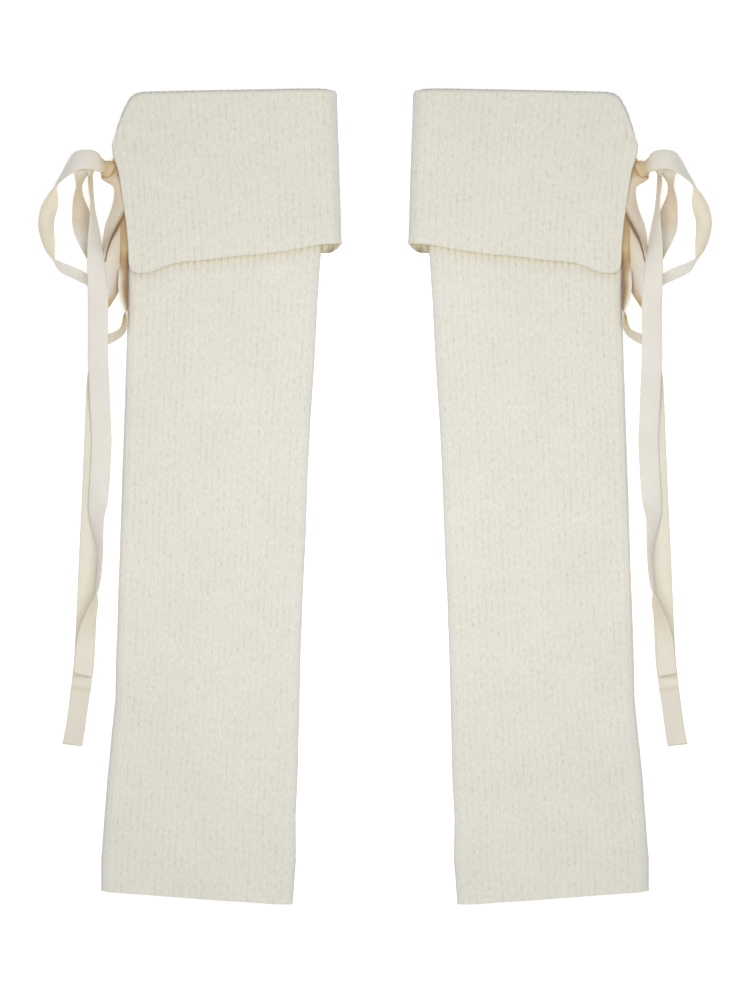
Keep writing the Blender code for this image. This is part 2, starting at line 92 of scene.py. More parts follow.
# Ribs and courses of stitches: over the flat front, round a side fold and up the cloth, and how finely
# each is divided, with the plain inside and the courses where it climbs the ramp
LEG_RIBS = 27
LEG_FOLD_RIBS = 3
LEG_COURSES = 200
LEG_SHOWING = 181
CUFF_RIBS = 30
CUFF_FOLD_RIBS = 5
CUFF_COURSES = 44
LIP_COURSES = 6
TURNED_COURSES = 16
FRONT_COLUMNS = 6
BACK_COLUMNS = 2
ROWS_PER_COURSE = 2
INNER_COLUMNS = 14
INNER_ROWS = 18
CLIMB = (173, 175, 183)
CLIMB_ROWS = 5
HIDDEN_STEP = 3.0

# Relief: how high ribs and stitches stand, how deep a rib's middle groove is, how far a V of yarn
# climbs, in courses, how far unevenness moves the cloth (waves to a metre, detail), and which way
RIB_RELIEF = 0.45
RIB_ROUNDNESS = 0.85
STITCH_RELIEF = 0.42
GROOVE_RELIEF = 0.22
CHEVRON = 0.8
UNEVEN = 0.2
UNEVEN_WAVES = (260.0, 2.0)
WANDER = 0.5
WANDER_WAVES = (45.0, 1.0)
WANDER_WAYS = (1.0, 0.4, 0.0)

# Edges: the hem's roll over its first courses, the row of points close to an edge, the ribs over which
# the relief rises at the slit, and the share of the top edge over which a corner takes the lip's roll
HEM_ROLL = 0.4
HEM_COURSES = 0.8
EDGE_ROW = 0.12
SIDE_EDGE = 0.3
CORNER_REACH = 0.035
INNER_CORNER = 0.85

# Ribbon: its thickness and width, the step along it, and its points across each face, out and back
TAPE = 0.8
TAPE_WIDTH = 15.0
TAPE_STEP = 2.0
TAPE_POINTS = 9
TAPE_SHARES = np.concatenate((np.linspace(0, 1, TAPE_POINTS), np.linspace(1, 0, TAPE_POINTS)))

# Sides of the leg tube: y, out of its outer side, out of its inner side
LEG_SIDES = (
    (-301.9, 202.8, 60.7), (-269.4, 202.8, 58.1), (-239.8, 200.5, 58.5), (-210.2, 198.3, 57.0),
    (-180.6, 195.4, 56.2), (-151.0, 192.4, 55.5), (-121.4, 191.7, 54.8), (-77.0, 190.2, 53.3),
    (-32.6, 188.7, 51.1), (11.8, 187.2, 49.6), (56.2, 185.7, 47.4), (100.6, 184.3, 44.4),
    (145.0, 182.8, 42.2), (176.1, 182.4, 40.0), (200.5, 183.5, 37.7), (233.8, 186.1, 34.4),
    (263.4, 188.0, 32.6), (301.9, 188.7, 32.6),
)

# Hem of the leg tube: share of the way from the outer to the inner side, y
LEG_HEM = (
    (0.00, -291.6), (0.05, -293.0), (0.27, -295.3), (0.47, -297.5), (0.61, -299.0), (0.77, -300.4),
    (0.91, -301.9), (1.00, -301.9),
)

# Hem of the cuff's front and back, and the place where the leg has climbed the back's hem: out, y
CUFF_HEM = (
    (182.0, 172.2), (181.0, 168.0), (178.3, 165.0), (175.4, 164.2), (165.8, 164.8), (158.0, 168.0),
    (151.0, 171.0), (142.8, 172.6), (127.3, 173.9), (117.7, 174.9), (101.4, 177.2), (87.3, 177.8),
    (79.2, 179.0), (62.9, 181.3), (40.0, 185.6), (24.3, 187.0),
)
BACK_HEM = (
    (182.0, 173.2), (39.3, 179.6), (35.4, 179.4), (31.2, 180.4), (26.8, 183.0), (24.3, 186.6),
)
RAMP_TOP = (
    (182.0, 164.5), (172.0, 164.7), (150.0, 171.5), (39.3, 178.5), (25.2, 183.0),
)

# Top of the cuff, with the slanting outer corner: out, y
CUFF_TOP = (
    (194.4, 259.1), (193.1, 264.3), (190.9, 273.2), (187.7, 282.1), (183.5, 291.0), (180.3, 295.4),
    (177.1, 297.6), (172.9, 298.7), (166.5, 299.1), (134.7, 299.8), (92.5, 300.6), (55.5, 301.3),
    (37.7, 301.3), (30.6, 300.8), (28.4, 299.4), (27.4, 297.2),
)

# How far the slit's edge bends in from a straight line: share of the way up, distance
SLIT_BEND = (
    (0.00, 0.0), (0.16, 1.6), (0.34, 2.4), (0.49, 2.2), (0.64, 2.4), (0.78, 2.0), (0.86, 0.9),
    (0.91, -0.3), (1.00, 0.0),
)

# Ribbon routes, from the knot outwards: out, y, height, turn about the route in degrees, and the width
# where the tape doesn't lie open
OUTER_LOOP = (
    (198.7, 243.2, 8.5, -30, 10),
    (203.1, 245.0, 13.5, -26, 12.8),
    (207.6, 247.4, 16.5, -12),
    (212.8, 248.2, 17.5, -10),
    (217.7, 247.7, 17.3, -14),
    (222.0, 245.6, 16.4, -31),
    (225.3, 243.1, 14.0, -50),
    (229.0, 239.0, 11.2, -64),
    (233.5, 233.1, 8.6, -80),
    (236.4, 227.2, 7.9, -95),
    (239.0, 220.5, 7.3, -125),
    (241.6, 211.6, 4.6, -158),
    (243.5, 202.8, 3.2, -165),
    (243.2, 193.9, 4.8, -147),
    (241.6, 185.0, 6.8, -125),
    (238.7, 176.9, 7.9, -98),
    (233.1, 169.8, 7.9, -66),
    (226.4, 165.8, 7.2, -57),
    (219.0, 162.1, 7.2, -57),
    (211.6, 158.1, 7.5, -64),
    (207.2, 152.7, 7.9, -72),
    (203.5, 146.5, 8.0, -78),
    (200.6, 141.0, 8, -80),
    (197.8, 139.8, 8, -83),
    (195.5, 143.6, 8.2, -80),
    (193.1, 149.4, 8.6, -69),
    (192.4, 155.8, 8.9, -55),
    (192.8, 162.4, 9.2, -40),
    (194.6, 172.5, 9.4, -26, 14),
    (194.1, 181.5, 9.6, -12, 12.4),
    (192.9, 190.5, 9.4, 2, 9.8),
    (191.2, 199.5, 8.8, 10, 6.4),
    (189.8, 207.5, 7.2, 10, 5),
    (189.4, 214.0, 5.2, -20, 5),
    (189.4, 219.0, 4.2, -60, 5.5),
    (190.0, 225.0, 3.8, -86, 6),
)
INNER_LOOP = (
    (200.3, 243.4, 4.4, 80, 6.6),
    (203.6, 243.6, 7.4, 66, 8),
    (207.4, 243.2, 11.4, 34, 12),
    (211.4, 242.6, 14.2, 8),
    (214.8, 241.0, 13.6, 22),
    (216.7, 236.4, 11.0, 56),
    (218.4, 229.4, 9.0, 76),
    (219.2, 222.0, 7.4, 65),
    (218.4, 213.9, 6.0, 45),
    (217.1, 206.5, 4.2, 26),
    (216.4, 198.3, 6.2, 26),
    (213.4, 189.4, 8.6, 30),
    (210.4, 180.6, 9.2, 44, 14),
    (208.0, 172.4, 8.4, 62, 12.5),
    (206.0, 166.9, 6.2, 76, 11.5),
    (203.6, 166.9, 6.3, 80, 11.5),
    (202.0, 173.2, 6.0, 78, 10.5),
    (200.6, 182.0, 6.4, 76, 11.5),
    (198.8, 190.9, 8.2, 64, 11),
    (195.2, 200.5, 9.6, 42, 10.4),
    (192.5, 206.2, 9.2, 37, 11),
    (190.1, 212.4, 8.0, 29, 11.8),
    (188.6, 218.6, 6.6, 16, 12),
    (188.0, 225.3, 6.4, 0, 10.5),
    (189.2, 231.0, 6.4, -4, 11),
    (193.2, 234.0, 6.4, 6, 10),
    (198.0, 235.0, 5.8, 25, 8.5),
    (202.0, 236.4, 4.6, 50, 7),
)
SHORT_TAIL = (
    (201.6, 240.2, 4.2, 84, 7),
    (204.4, 241.6, 3.8, 84, 7),
    (207.6, 241.0, 3.8, 84, 7),
    (209.4, 238.0, 4.4, 80, 8),
    (209.8, 233.6, 6.4, 76, 13),
    (209.6, 227.2, 8.0, 79),
    (208.7, 219.0, 8.8, 81),
    (208.1, 210.2, 10.0, 76),
    (207.2, 200.5, 11.6, 65),
    (206.7, 190.9, 13.4, 53),
    (206.3, 182.0, 16.5, 42),
    (205.7, 173.2, 17.6, 33),
    (204.8, 159.8, 17.6, 20),
    (204.2, 145.0, 17.2, 0),
    (204.2, 130.2, 16.9, 0),
    (204.2, 115.4, 16.4, 0),
    (204.4, 103.6, 15.7, 0),
    (204.0, 93.2, 13.2, 0),
    (203.6, 81.4, 8.6, 0),
    (203.4, 69.6, 4.8, 0),
    (202.8, 56.2, 3.0, 0),
    (202.2, 41.4, 2.5, 0),
    (202.8, 26.6, 2.5, 0),
    (203.6, 11.8, 2.6, 0),
    (204.8, -3.0, 3.8, -10),
    (205.7, -15.5, 7.3, -38),
    (204.7, -27.4, 8.9, -56),
    (203.3, -39.2, 9.7, -70),
    (203.3, -48.8, 9.9, -75),
    (204.2, -59.9, 9.9, -76),
    (205.5, -71.0, 9.8, -86),
    (207.1, -78.4, 9.6, -106),
    (209.8, -87.3, 9.2, -120),
    (212.4, -96.2, 8.4, -131),
    (214.2, -106.6, 7.2, -142),
    (215.1, -118.4, 6.4, -149),
    (216.2, -132.5, 6.3, -150),
)
LONG_TAIL = (
    (189.0, 231.0, 4.2, -50, 8),
    (187.8, 224.0, 4.0, -40, 8.5),
    (186.9, 216.6, 3.8, -34, 9),
    (186.2, 207.2, 3.6, -30, 9),
    (185.8, 195.4, 3.6, -28, 9.5),
    (185.6, 184.0, 3.9, -20, 10),
    (184.9, 175.5, 3.8, 4, 10.5),
    (184.4, 168.6, 4.4, 34, 12.5),
    (184.9, 161.5, 6.6, 57),
    (185.4, 154.0, 7.6, 60),
    (184.6, 146.0, 7.8, 68),
    (183.8, 139.5, 7.9, 79),
    (184.3, 133.5, 7.8, 101),
    (184.9, 127.5, 7.6, 108),
    (186.6, 122.4, 7.4, 113),
    (190.6, 119.0, 7.2, 117),
    (196.0, 116.4, 7.2, 121),
    (200.9, 113.2, 7.4, 115),
    (204.2, 108.0, 7.5, 113),
    (205.6, 99.9, 6.4, 130),
    (205.6, 90.3, 3.8, 156),
    (206.0, 79.9, 1.5, 176),
    (206.6, 68.1, 1.0, 180),
    (207.9, 34.0, 1.0, 180),
    (209.5, -3.0, 1.0, 180),
    (211.6, -47.4, 1.0, 180),
    (213.5, -91.8, 1.0, 180),
    (215.0, -121.4, 1.0, 180),
    (216.5, -134.7, 1.2, 176),
    (217.2, -141.2, 2.1, 171),
    (217.6, -143.4, 1.2, 171),
    (217.9, -145.6, 2.3, 169),
    (219.0, -153.3, 2.7, 166),
    (220.5, -165.0, 2.8, 165),
    (222.1, -175.4, 2.4, 168),
    (223.8, -184.3, 1.8, 173),
)

# Along each stretch, by share of its length: how much painted golden shade, standing in for the light among
# the layers, its one edge and its other take, turning to painted deep shade above 1, and how far it curls
# across its width in degrees, with its outer face rounded outwards. A strip along an edge that carries
# painted shade has its first and last share, how far it lies beyond the edge and behind the face, its width
# and its painted shade. A slant is how far a cut end leans.
OUTER_PAINTED_SHADE = (
    (0.00, 0.80, 0.80), (0.03, 0.25, 0.25), (0.08, 0.00, 0.00), (0.20, 0.00, 0.00), (0.26, 0.08, 0.08),
    (0.44, 0.08, 0.08), (0.50, 0.00, 0.00), (0.63, 0.40, 0.50), (0.665, 0.80, 1.10), (0.69, 0.20, 0.80),
    (0.72, 0.00, 0.50), (0.80, 0.00, 0.50), (0.86, 0.10, 0.50), (0.92, 0.40, 0.70), (1.00, 0.80, 0.80),
)
OUTER_CURL = (
    (0.00, 70), (0.06, 30), (0.14, 25), (0.22, 60), (0.30, 130), (0.36, 110), (0.42, 45), (0.48, 40),
    (0.54, 110), (0.58, 110), (0.64, 40), (0.80, 25), (1.00, 30),
)
OUTER_EDGES = (
    (0.042, 0.10, -14.9, 0.4, 1.2, 0.7),
)
INNER_PAINTED_SHADE = (
    (0.00, 0.60, 0.60), (0.05, 0.30, 0.30), (0.10, 0.20, 0.20), (0.16, 0.20, 0.28), (0.20, 0.36, 0.36),
    (0.34, 0.38, 0.34), (0.41, 0.05, 0.00), (0.60, 0.00, 0.00), (0.68, 0.05, 0.20), (0.80, 0.12, 0.38),
    (0.88, 0.28, 0.62), (0.94, 0.38, 0.62), (1.00, 0.65, 0.65),
)
INNER_CURL = (
    (0.00, 40), (0.15, 10), (0.50, -25), (0.75, 0), (0.82, 60), (0.86, 110), (0.92, 110), (1.00, 60),
)
INNER_EDGES = (
    (0.62, 0.845, -0.1, -0.35, 0.9, 0.7),
    (0.60, 0.81, 1.1, 1.6, 3.0, 2.0),
)
SHORT_SLANT = 3.2
SHORT_PAINTED_SHADE = (
    (0.00, 0.80, 0.80), (0.05, 0.40, 0.40), (0.12, 0.05, 0.05), (0.80, 0.00, 0.00), (0.84, 0.00, 0.35),
    (0.90, 0.00, 0.30), (0.94, 0.00, 0.00), (1.00, 0.00, 0.00),
)
SHORT_EDGES = (
    (0.845, 0.925, -13.4, -0.5, 1.0, 0.5),
)
SHORT_CURL = (
    (0.00, 40), (0.10, 20), (0.35, 12), (0.55, 10), (0.70, 30), (0.80, 40), (0.90, 20), (1.00, 10),
)
LONG_SLANT = -1.6
LONG_PAINTED_SHADE = (
    (0.00, 1.60, 1.60), (0.04, 1.50, 1.50), (0.07, 0.90, 0.95), (0.12, 0.68, 0.90), (0.135, 1.80, 1.10),
    (0.150, 4.20, -0.20), (0.165, 5.40, -1.20), (0.195, 5.40, -1.40), (0.22, 4.60, -1.20),
    (0.245, 1.00, 0.10), (0.265, 0.30, 0.00), (0.28, 0.00, 0.00), (0.896, 0.00, 0.00),
    (0.902, 0.20, 0.20), (0.908, 0.00, 0.00), (1.00, 0.00, 0.00),
)
LONG_CURL = (
    (0.00, -20), (0.10, -10), (0.115, 80), (0.135, 145), (0.15, 130), (0.175, 60), (0.20, 20),
    (0.23, 10), (0.30, -20), (0.40, 8), (0.85, 8), (1.00, 15),
)

# Knot: the lump of tape under the wraps, the band that goes round it and a short end, all three with painted
# golden shade, and a narrow strip painted as deep shade where a crease's shadow falls. The curls of narrow
# strips and of the end are in radians
KNOT_GRID = (18, 32)
KNOT_CENTRE = (194.1, 240.2, 4.6)
KNOT_RADII = (6.0, 6.6, 3.6)
CORE_PAINTED_SHADE = 0.85
BAND_STEPS = 48
BAND_CENTRE = (197.2, 241.3, 5.6)
BAND_RADII = (4.8, 4.4)
BAND_WIDTH = 10.5
BAND_CURL = 135
BAND_LEAN = 20
BAND_PAINTED_SHADE = 0.62
END_PAINTED_SHADE = 1.0
CREASE_PAINTED_SHADE = 1.55
STRIP_CURL = 0.3
END_CURL = 0.5
KNOT_END = (
    (193.5, 238.0, 5.6, 10, 7),
    (192.6, 242.0, 6.4, 14, 7.5),
    (191.6, 246.5, 5.8, 18, 6.5),
    (190.6, 251.0, 4.8, 20, 5),
)
KNOT_CREASE_SHADOW = (
    (201.6, 236.0, 7.4, 0, 1.2),
    (199.4, 235.8, 8.2, 0, 1.8),
    (196.9, 236.3, 8.8, 0, 1.9),
    (194.6, 237.6, 9.0, 0, 1.8),
    (192.6, 239.6, 9.0, 0, 1.6),
    (191.5, 242.4, 8.6, 0, 1.2),
)

# Colours: yarn on the crests, painted shade in the valleys, painted golden shade by a hem, painted grey
# shade of a side fold, and the tape's two faces, painted a little apart as light among the layers, its
# painted golden shade and its painted deepest shade
KNIT_CREST = (0.832, 0.808, 0.72, 1.0)
KNIT_VALLEY_PAINTED_SHADE = (0.59, 0.54, 0.38, 1.0)
CUFF_CREST = (0.825, 0.797, 0.70, 1.0)
WARM_SHADE = (0.64, 0.54, 0.32, 1.0)
SIDE_PAINTED_SHADE = (0.56, 0.57, 0.60, 1.0)
TAPE_OUTER = (0.85, 0.815, 0.735, 1.0)
TAPE_INNER_PAINTED_WARMER = (0.84, 0.79, 0.67, 1.0)
TAPE_PAINTED_GOLDEN_SHADE = (0.66, 0.465, 0.225, 1.0)
TAPE_PAINTED_DEEP_SHADE = (0.37, 0.24, 0.165, 1.0)
WHITE = (1.0, 1.0, 1.0, 1.0)

# Painted shade of the knit: the widths of a valley, of a rib's middle groove and of the gap between
# stitches, how dark each is painted, and the darker painted dashes in some valleys, with their length in
# courses
VALLEY_WIDTH = 0.5
GROOVE_WIDTH = 0.3
STITCH_GAP = 0.42
FAINT = 0.3
SEAM_SHADE = 0.22
DASH_COURSES = 1.9
DASH_STAGGER = 0.37
DASH_WIDTH = 0.8
DASH_SHADE = 0.4

# Painted golden shade: how far the cuff's hem casts it down the leg, and how strong it is on the hem's edge
# and inside the hem's inner end, from which share across and over how many courses. Then the share of
# painted grey shade on a side fold
HEM_SHADE_REACH = 4.5
HEM_EDGE_PAINTED_SHADE = 0.8
LOBE_PAINTED_SHADE = 2.3
LOBE_FROM = 0.86
LOBE_COURSES = 8.0
SIDE_PAINTED_SHADE_SHARE = 0.62

# Unevenness: waves to a metre (streaks follow the stitches), detail, and how much the light varies
KNIT_CLOUDS = (22.0, 3.0, 0.08)
KNIT_FLECKS = (420.0, 2.0, 0.10)
KNIT_STREAKS = (1.0, 1.0, 0.22)
KNIT_FUZZ = (2600.0, 3.0)
KNIT_PATCHES = (60.0, 2.0)
TAPE_CLOUDS = (60.0, 3.0, 0.09)
TAPE_FLECKS = (700.0, 2.0, 0.09)
TAPE_WEAVE = 0.02
WARP_THREADS = 1.6
WEFT_THREADS = 1.2


# Reading the tables

def mix(first, second, share):
    return first + (second - first) * share


def look_up(table, place, column=1):
    """Reads a table at an array of places, in straight lines between its rows."""
    rows = np.array(table if table[0][0] < table[-1][0] else table[::-1])
    return np.interp(place, rows[:, 0], rows[:, column])


def smooth_step(value):
    value = np.clip(value, 0.0, 1.0)
    return value * value * (3 - 2 * value)


def unit(vectors):
    return vectors / np.linalg.norm(vectors, axis=-1, keepdims=True)


# Shape of the cloth

def lift(out, y):
    """How far the leg tube is raised where it climbs over the hem of the cuff's back."""
    return LIFT * smooth_step((y - look_up(RAMP_TOP, out)) / RAMP_LENGTH + 1.0)


def leg_point(across, height, course, outside):
    """Points of the leg tube: out, y and z for arrays of places round it and up it."""
    inset = 0.0 if outside else WALL
    half = LEG_HALF if outside else SLOT / 2
    y = mix(look_up(LEG_HEM, across), LEG_TOP, course / LEG_COURSES)
    outer = look_up(LEG_SIDES, y, 1) - inset
    inner = look_up(LEG_SIDES, y, 2) + inset
    out = mix(outer, inner, across)
    return out, y, LEG_HALF + lift(out, y) + half * height


def cuff_top(across):
    out = mix(CUFF_TOP[0][0], CUFF_TOP[-1][0], across)
    return out, look_up(CUFF_TOP, out)


def lip_normal(across):
    """The direction out of the cuff's top edge, in the plane of the floor."""
    out_before, y_before = cuff_top(np.clip(across - LIP_REACH, 0.0, 1.0))
    out_after, y_after = cuff_top(np.clip(across + LIP_REACH, 0.0, 1.0))
    run = out_after - out_before
    rise = y_after - y_before
    size = np.hypot(run, rise)
    return rise / size, -run / size


def lip_share(across):
    """How much of the lip's roll is left by the slit's corner and round the inner one."""
    inner = INNER_CORNER * smooth_step((across - 1.0) / CORNER_REACH + 1.0)
    return smooth_step(across / CORNER_REACH) * (1.0 - inner)


def cuff_sheet(across, share, height):
    """Where the cuff's front or back lies in the plane of the floor."""
    normal_out, normal_y = lip_normal(across)
    top_out, top_y = cuff_top(across)
    hem_out = mix(CUFF_HEM[0][0], CUFF_HEM[-1][0], across)
    frontness = (1.0 + height) / 2
    hem_y = mix(look_up(BACK_HEM, hem_out), look_up(CUFF_HEM, hem_out), frontness)
    fade = (1.0 - across) ** SLIT_FADE
    lip = LIP * lip_share(across)
    out = mix(hem_out, top_out - lip * normal_out, share)
    out = out - look_up(SLIT_BEND, share) * fade
    out = out - BACK_INSET * (1.0 - frontness) * (1.0 - share) * fade
    return out, mix(hem_y, top_y - lip * normal_y, share)


def cuff_point(across, height, course, outside):
    """Points of the cuff, up its face, over its lip and down inside."""
    cover = WALL if outside else 0.0
    front = LEG_HALF + LAYER_GAP + cover
    back = WALL - cover
    under = SLOT / 2 if outside else LEG_HALF
    fold = np.sqrt(np.maximum(0.0, 1.0 - height * height)) * across
    share = np.clip(course / CUFF_COURSES, 0.0, 1.0)
    turn = np.clip((course - CUFF_COURSES) / LIP_COURSES, 0.0, 1.0) * math.pi
    low = np.clip((course - CUFF_COURSES - LIP_COURSES) / TURNED_COURSES, 0.0, 1.0)
    over = (1.0 - np.cos(turn)) / 2
    out, y = cuff_sheet(across, share, height)
    out = out + back * fold
    z = mix(back, LEG_HALF + lift(out, y) + front, (1.0 + height) / 2)
    normal_out, normal_y = lip_normal(across)
    top_out, top_y = cuff_top(across)
    end_y = LEG_TOP + LAYER_GAP
    end_out = mix(look_up(LEG_SIDES, end_y, 1), look_up(LEG_SIDES, end_y, 2), across)
    start_out = top_out - LIP * normal_out + INNER_SLACK * across ** SLACK_FADE
    in_out = mix(start_out, end_out, low) + cover * fold
    in_y = mix(top_y - LIP * normal_y, end_y, low)
    in_z = LEG_HALF + LIFT + under * height
    forward = (LIP if outside else LAYER_GAP / 2) * np.sin(turn) * lip_share(across)
    return (mix(out, in_out, over) + forward * normal_out,
            mix(y, in_y, over) + forward * normal_y,
            mix(z, in_z, over))


# Meshes

def stations(ribs, fold_ribs, reach, folds_outer, front_columns, back_columns):
    """Places round a flat-lying tube: share across, height share, wale and how much it shows."""
    outer_reach = reach if folds_outer else 0.0
    span = 1.0 - reach - outer_reach
    front = np.arange(ribs * front_columns)
    fold = np.arange(fold_ribs * front_columns)
    back = np.arange(ribs * back_columns + (0 if folds_outer else 1))
    turn = math.pi * (0.5 - fold / len(fold))
    stretches = [
        (outer_reach + span * front / len(front), 1.0, front / front_columns, 1.0),
        (1.0 - reach + reach * np.cos(turn), np.sin(turn), ribs + fold / front_columns, 1.0),
        (1.0 - reach - span * back / (ribs * back_columns), -1.0,
         ribs + fold_ribs + back / back_columns, 0.0),
    ]
    if folds_outer:
        stretches.append((reach - reach * np.cos(turn), -np.sin(turn),
                          2 * ribs + fold_ribs + fold / front_columns, 1.0))
    return [np.concatenate([np.broadcast_to(stretch[column], stretch[0].shape) for stretch in stretches])
            for column in range(4)]


def course_rows(showing, end):
    """Places up the cloth, close together where it shows."""
    close = np.arange(0, showing * ROWS_PER_COURSE) / ROWS_PER_COURSE
    close = np.insert(close, 1, EDGE_ROW)
    hidden = np.linspace(showing, end, max(2, round((end - showing) / HIDDEN_STEP)))
    return np.concatenate((close, hidden))


def plain_rows(end):
    """Rows of the plain inside, close together where the leg climbs over the cuff's back."""
    if end <= LEG_SHOWING:
        return np.linspace(0.0, end, INNER_ROWS)
    below, low, high = CLIMB
    return np.concatenate((np.linspace(0.0, below, INNER_ROWS), np.linspace(low, high, CLIMB_ROWS),
                           (mix(LEG_SHOWING, end, 0.5), end)))


def grid_faces(rows, columns, closed, first):
    """Quads of a grid whose vertices start at a given number."""
    around = columns if closed else columns - 1
    low, left = np.meshgrid(np.arange(rows - 1), np.arange(around), indexing="ij")
    right = (left + 1) % columns
    corners = (low * columns + left, low * columns + right,
               (low + 1) * columns + right, (low + 1) * columns + left)
    return (np.stack(corners, axis=-1).reshape(-1, 4) + first).tolist()


def rim_faces(first, second, lap, flip):
    """Triangles between two lines of (place, vertex) that have unlike numbers of points."""
    if lap:
        first = first + [(first[0][0] + lap, first[0][1])]
        second = second + [(second[0][0] + lap, second[0][1])]
    faces = []
    i = 0
    j = 0
    while i < len(first) - 1 or j < len(second) - 1:
        first_next = i < len(first) - 1 and (
            j == len(second) - 1 or first[i + 1][0] <= second[j + 1][0])
        if first_next:
            faces.append((first[i][1], first[i + 1][1], second[j][1]))
            i += 1
        else:
            faces.append((first[i][1], second[j + 1][1], second[j][1]))
            j += 1
    return faces if flip else [face[::-1] for face in faces]


def wall_faces(rows, wale, in_rows, in_wale, closed):
    """Faces of a wall's outer and inner grids and of the rims between them.

    Rows and wales are given as shares of the whole, so that the two grids' points can be paired.
    """
    columns = len(wale)
    in_columns = len(in_wale)
    first = len(rows) * columns
    faces = grid_faces(len(rows), columns, closed, 0)
    faces += [face[::-1] for face in grid_faces(len(in_rows), in_columns, closed, first)]
    lap = 1.0 if closed else 0.0
    for row, in_row, flip in ((0, 0, False), (len(rows) - 1, len(in_rows) - 1, True)):
        outer_line = [(w, row * columns + k) for k, w in enumerate(wale)]
        inner_line = [(w, first + in_row * in_columns + k) for k, w in enumerate(in_wale)]
        faces += rim_faces(outer_line, inner_line, lap, flip)
    if not closed:
        for column, in_column, flip in ((0, 0, True), (columns - 1, in_columns - 1, False)):
            outer_line = [(r, k * columns + column) for k, r in enumerate(rows)]
            inner_line = [(r, first + k * in_columns + in_column) for k, r in enumerate(in_rows)]
            faces += rim_faces(outer_line, inner_line, 0.0, flip)
    return faces


def make_object(name, points, faces, mirrored):
    """A smooth mesh object from points in millimetres (x, y, z) of the left side."""
    points = np.array(points) * MM
    if mirrored:
        points[:, 0] *= -1
        faces = [face[::-1] for face in faces]
    data = bpy.data.meshes.new(name)
    data.from_pydata(points.tolist(), [], faces)
    data.shade_smooth()
    item = bpy.data.objects.new(name, data)
    bpy.context.scene.collection.objects.link(item)
    return item


def store(item, name, values):
    made = item.data.attributes.new(name, "FLOAT", "POINT")
    made.data.foreach_set("value", np.asarray(values, dtype=np.float32).ravel())


def store_map(item, across, along):
    """Writes a UV map from one pair of numbers for each vertex."""
    corners = np.empty(len(item.data.loops), dtype=np.int32)
    item.data.loops.foreach_get("vertex_index", corners)
    pairs = np.stack((across[corners], along[corners]), axis=-1)
    made = item.data.uv_layers.new(name="UVMap")
    made.uv.foreach_set("vector", pairs.astype(np.float32).ravel())


def hem_painted_shade(out, y, z):
    """How strongly the cuff's hem casts its painted golden shade on the front of the leg below it."""
    below = look_up(CUFF_HEM, out) - y
    shaded = (below > -2.0) & (z > LEG_HALF)
    return np.where(shaded, np.exp(-np.maximum(below, 0.0) / HEM_SHADE_REACH), 0.0)


def steepness(grid, sideways):
    """How far the smooth cloth leans: 0 where it lies level, 1 where it stands upright.

    It sets the painted grey shade of a side fold. Where only the sideways lean counts, as on the leg,
    the climb over the cuff's back stays free of that painted shade.
    """
    normal = unit(np.cross(np.gradient(grid, axis=1), np.gradient(grid, axis=0)) + 1e-9)
    level = np.abs(normal[..., 2])
    if sideways:
        level = np.sqrt(1.0 - np.clip(normal[..., 0] ** 2, 0.0, 1.0))
    return np.sqrt(np.clip(1.0 - level, 0.0, 1.0))


def knit_sheet(name, side, shape, outer_ring, inner_ring, rows, end, chevron, closed):
    """A closed wall of knit: a finely divided outer face and a plain inner one, joined at its edges.

    The rows of the outer face follow the Vs of the stitches. Its attributes wale, course and
    relief tell the stitch tree where a point lies and how much of the relief it takes.
    """
    across, height, wale, shows = outer_ring
    row = rows[:, None]
    peak = np.abs(wale % 1.0 - 0.5) * 2 - 0.5
    fade = np.clip(np.minimum(row / 2.0, (end - row) / 8.0), 0.0, 1.0)
    course = np.clip(row + chevron * peak * fade, 0.0, end)
    out, y, z = shape(across, height, course, True)
    z = z - HEM_ROLL * np.clip(1.0 - row / HEM_COURSES, 0.0, 1.0) ** 2 * height
    outer = np.stack((-out, y, z), axis=-1)

    in_across, in_height, in_wale, _ = inner_ring
    in_row = plain_rows(end)[:, None]
    in_out, in_y, in_z = shape(in_across, in_height, in_row, False)
    inner = np.stack(np.broadcast_arrays(-in_out, in_y, in_z), axis=-1)

    def both(outside, inside):
        """One value for each point of the outer face, then of the inner one."""
        return np.concatenate((np.broadcast_to(outside, outer.shape[:2]).ravel(),
                               np.broadcast_to(inside, inner.shape[:2]).ravel()))

    total = wale[-1] + (wale[1] - wale[0] if closed else 0.0)
    in_total = in_wale[-1] + (in_wale[1] - in_wale[0] if closed else 0.0)
    points = np.concatenate((outer.reshape(-1, 3), inner.reshape(-1, 3)))
    faces = wall_faces(rows / end, wale / total, in_row[:, 0] / end, in_wale / in_total, closed)
    item = make_object(name, points, faces, side > 0)
    relief = np.clip(row, 0.0, 1.0)
    # Painted golden shade: on the leg below the cuff's hem; on the cuff along its hem's edge and inside its
    # turned-in end
    if closed:
        painted_shade = hem_painted_shade(out, y, z)
        in_painted_shade = 0.0
    else:
        relief = relief * np.clip(np.minimum(wale, wale[-1] - wale) / SIDE_EDGE, 0.0, 1.0)
        painted_shade = HEM_EDGE_PAINTED_SHADE * np.clip(1.0 - row / 0.5, 0.0, 1.0)
        lobe = LOBE_PAINTED_SHADE * np.clip((in_across - LOBE_FROM) / (1.0 - LOBE_FROM), 0.0, 1.0) ** 0.5
        in_painted_shade = lobe * np.exp(-in_row / LOBE_COURSES)
    store(item, "wale", both(wale, in_wale * total / in_total))
    store(item, "course", both(row, 0.0))
    store(item, "relief", both(relief, 0.0))
    store(item, "front", both(shows, 0.0))
    store(item, "painted_shade", both(painted_shade, in_painted_shade))
    store(item, "inside", both(0.0, 1.0))
    store(item, "steep", both(steepness(outer, closed), 0.0))
    store_map(item, both(wale / total, in_wale / in_total), both(course / end, in_row / end))
    return item


# Node trees

